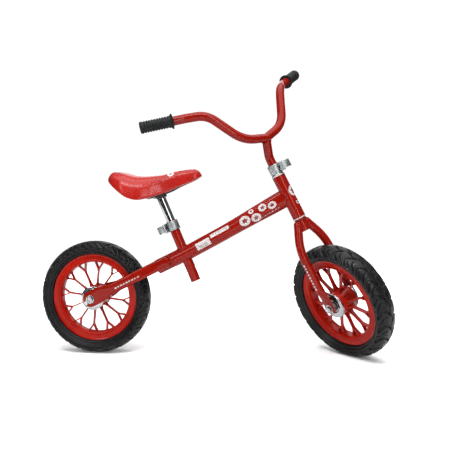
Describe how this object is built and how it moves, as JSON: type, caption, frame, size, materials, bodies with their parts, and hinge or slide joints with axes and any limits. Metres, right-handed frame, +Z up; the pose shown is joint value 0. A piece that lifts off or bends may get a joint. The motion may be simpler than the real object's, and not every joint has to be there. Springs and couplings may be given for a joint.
{
  "type": "balance bike",
  "caption": "Child's pedal-free balance bike with a sloping one-tube frame, moulded spoked wheels, rise handlebar and height-adjustable saddle, pushed along by the rider's feet.",
  "frame": {"origin": "on the ground under the middle of the outer box, with the bike upright and its handlebar turned to the left", "axes": "+X toward the front of the frame, +Y to the rider's left, +Z up"},
  "size_m": [0.9146, 0.3808, 0.7569],
  "materials": {
    "black_plastic": "satin moulded plastic",
    "black_rubber": "soft matt rubber",
    "black_tyre": "matt foam rubber",
    "chrome": "bright plating",
    "clamp_aluminium": "satin cast aluminium",
    "headset_white": "smooth white plastic",
    "red_paint": "deep glossy red powder paint",
    "red_plastic": "satin moulded plastic",
    "red_saddle": "semi-gloss skinned foam",
    "zinc_steel": "zinc-plated"
  },
  "bodies": {
    "frame": {"head_tube": "red_paint", "headset_lower_cup": "headset_white", "headset_top_cup": "headset_white", "main_tube": "red_paint", "rear_axle": "zinc_steel", "rear_axle_nut_left": "chrome", "rear_axle_nut_right": "chrome", "rear_axle_spacer_left": "zinc_steel", "rear_axle_spacer_right": "zinc_steel", "rear_axle_washer_left": "chrome", "rear_axle_washer_right": "chrome", "seat_clamp_bolt": "zinc_steel", "seat_clamp_collar": "clamp_aluminium", "seat_clamp_nut": "clamp_aluminium", "seat_tube": "red_paint", "stay_left": "red_paint", "stay_right": "red_paint"},
    "seat_lever": {"seat_clamp_lever": "clamp_aluminium"},
    "bar_lever": {"bar_clamp_lever": "clamp_aluminium"},
    "rear_wheel_body": {"rear_bearing_left": "zinc_steel", "rear_bearing_right": "zinc_steel", "rear_hub_disc_left": "chrome", "rear_hub_disc_right": "chrome", "rear_tyre": "black_tyre", "rear_wheel": "red_plastic"},
    "front_wheel_body": {"front_bearing_left": "zinc_steel", "front_bearing_right": "zinc_steel", "front_hub_disc_left": "chrome", "front_hub_disc_right": "chrome", "front_tyre": "black_tyre", "front_wheel": "red_plastic"},
    "fork": {"bar_clamp_bolt": "zinc_steel", "bar_clamp_collar": "clamp_aluminium", "bar_clamp_nut": "clamp_aluminium", "crown_race": "red_paint", "fork_blade_left": "red_paint", "fork_blade_right": "red_paint", "front_axle": "zinc_steel", "front_axle_nut_left": "chrome", "front_axle_nut_right": "chrome", "front_axle_spacer_left": "zinc_steel", "front_axle_spacer_right": "zinc_steel", "front_axle_washer_left": "chrome", "front_axle_washer_right": "chrome", "headset_lock_nut": "zinc_steel", "steerer_tube": "red_paint"},
    "bars": {"handlebar": "red_paint", "stem": "red_paint", "grip_right": "black_rubber", "grip_left": "black_rubber"},
    "post": {"seat_post": "chrome", "saddle_clamp_block": "black_plastic", "saddle_clamp_bolt": "chrome", "saddle_clamp_nut": "chrome"},
    "saddle": {"saddle_cover": "red_saddle", "saddle_shell": "black_plastic", "saddle_rails": "zinc_steel", "saddle_clamp_cup_right": "black_plastic", "saddle_clamp_cup_left": "black_plastic"}
  },
  "joints": [
    {"name": "steering", "type": "hinge", "parent": "frame", "child": "fork", "pos_m": [0.4047, -0.0363, 0], "axis": [-0.4368, 0, 0.8996], "continuous": true},
    {"name": "bar_height", "type": "slide", "parent": "fork", "child": "bars", "axis": [-0.4368, 0, 0.8996], "range_m": [-0.008, 0.04]},
    {"name": "seat_height", "type": "slide", "parent": "frame", "child": "post", "axis": [-0.373, 0, 0.9278], "range_m": [-0.05, 0.045]},
    {"name": "saddle_tilt", "type": "hinge", "parent": "post", "child": "saddle", "pos_m": [-0.1485, -0.0363, 0.413], "axis": [0, 1, 0], "range_deg": [-12, 12]},
    {"name": "rear_wheel_spin", "type": "hinge", "parent": "frame", "child": "rear_wheel_body", "pos_m": [-0.3085, -0.0363, 0.149], "axis": [0, 1, 0], "continuous": true},
    {"name": "front_wheel_spin", "type": "hinge", "parent": "fork", "child": "front_wheel_body", "pos_m": [0.33484, -0.0363, 0.14387], "axis": [0.6547, 0.6858, 0.3179], "continuous": true},
    {"name": "seat_clamp_release", "type": "hinge", "parent": "frame", "child": "seat_lever", "pos_m": [-0.11215, -0.0498, 0.3287], "axis": [-0.373, 0, 0.9278], "range_deg": [0, 150]},
    {"name": "bar_clamp_release", "type": "hinge", "parent": "fork", "child": "bar_lever", "pos_m": [0.19066, -0.0521, 0.4838], "axis": [0.4368, 0, -0.8996], "range_deg": [0, 150]}
  ]
}
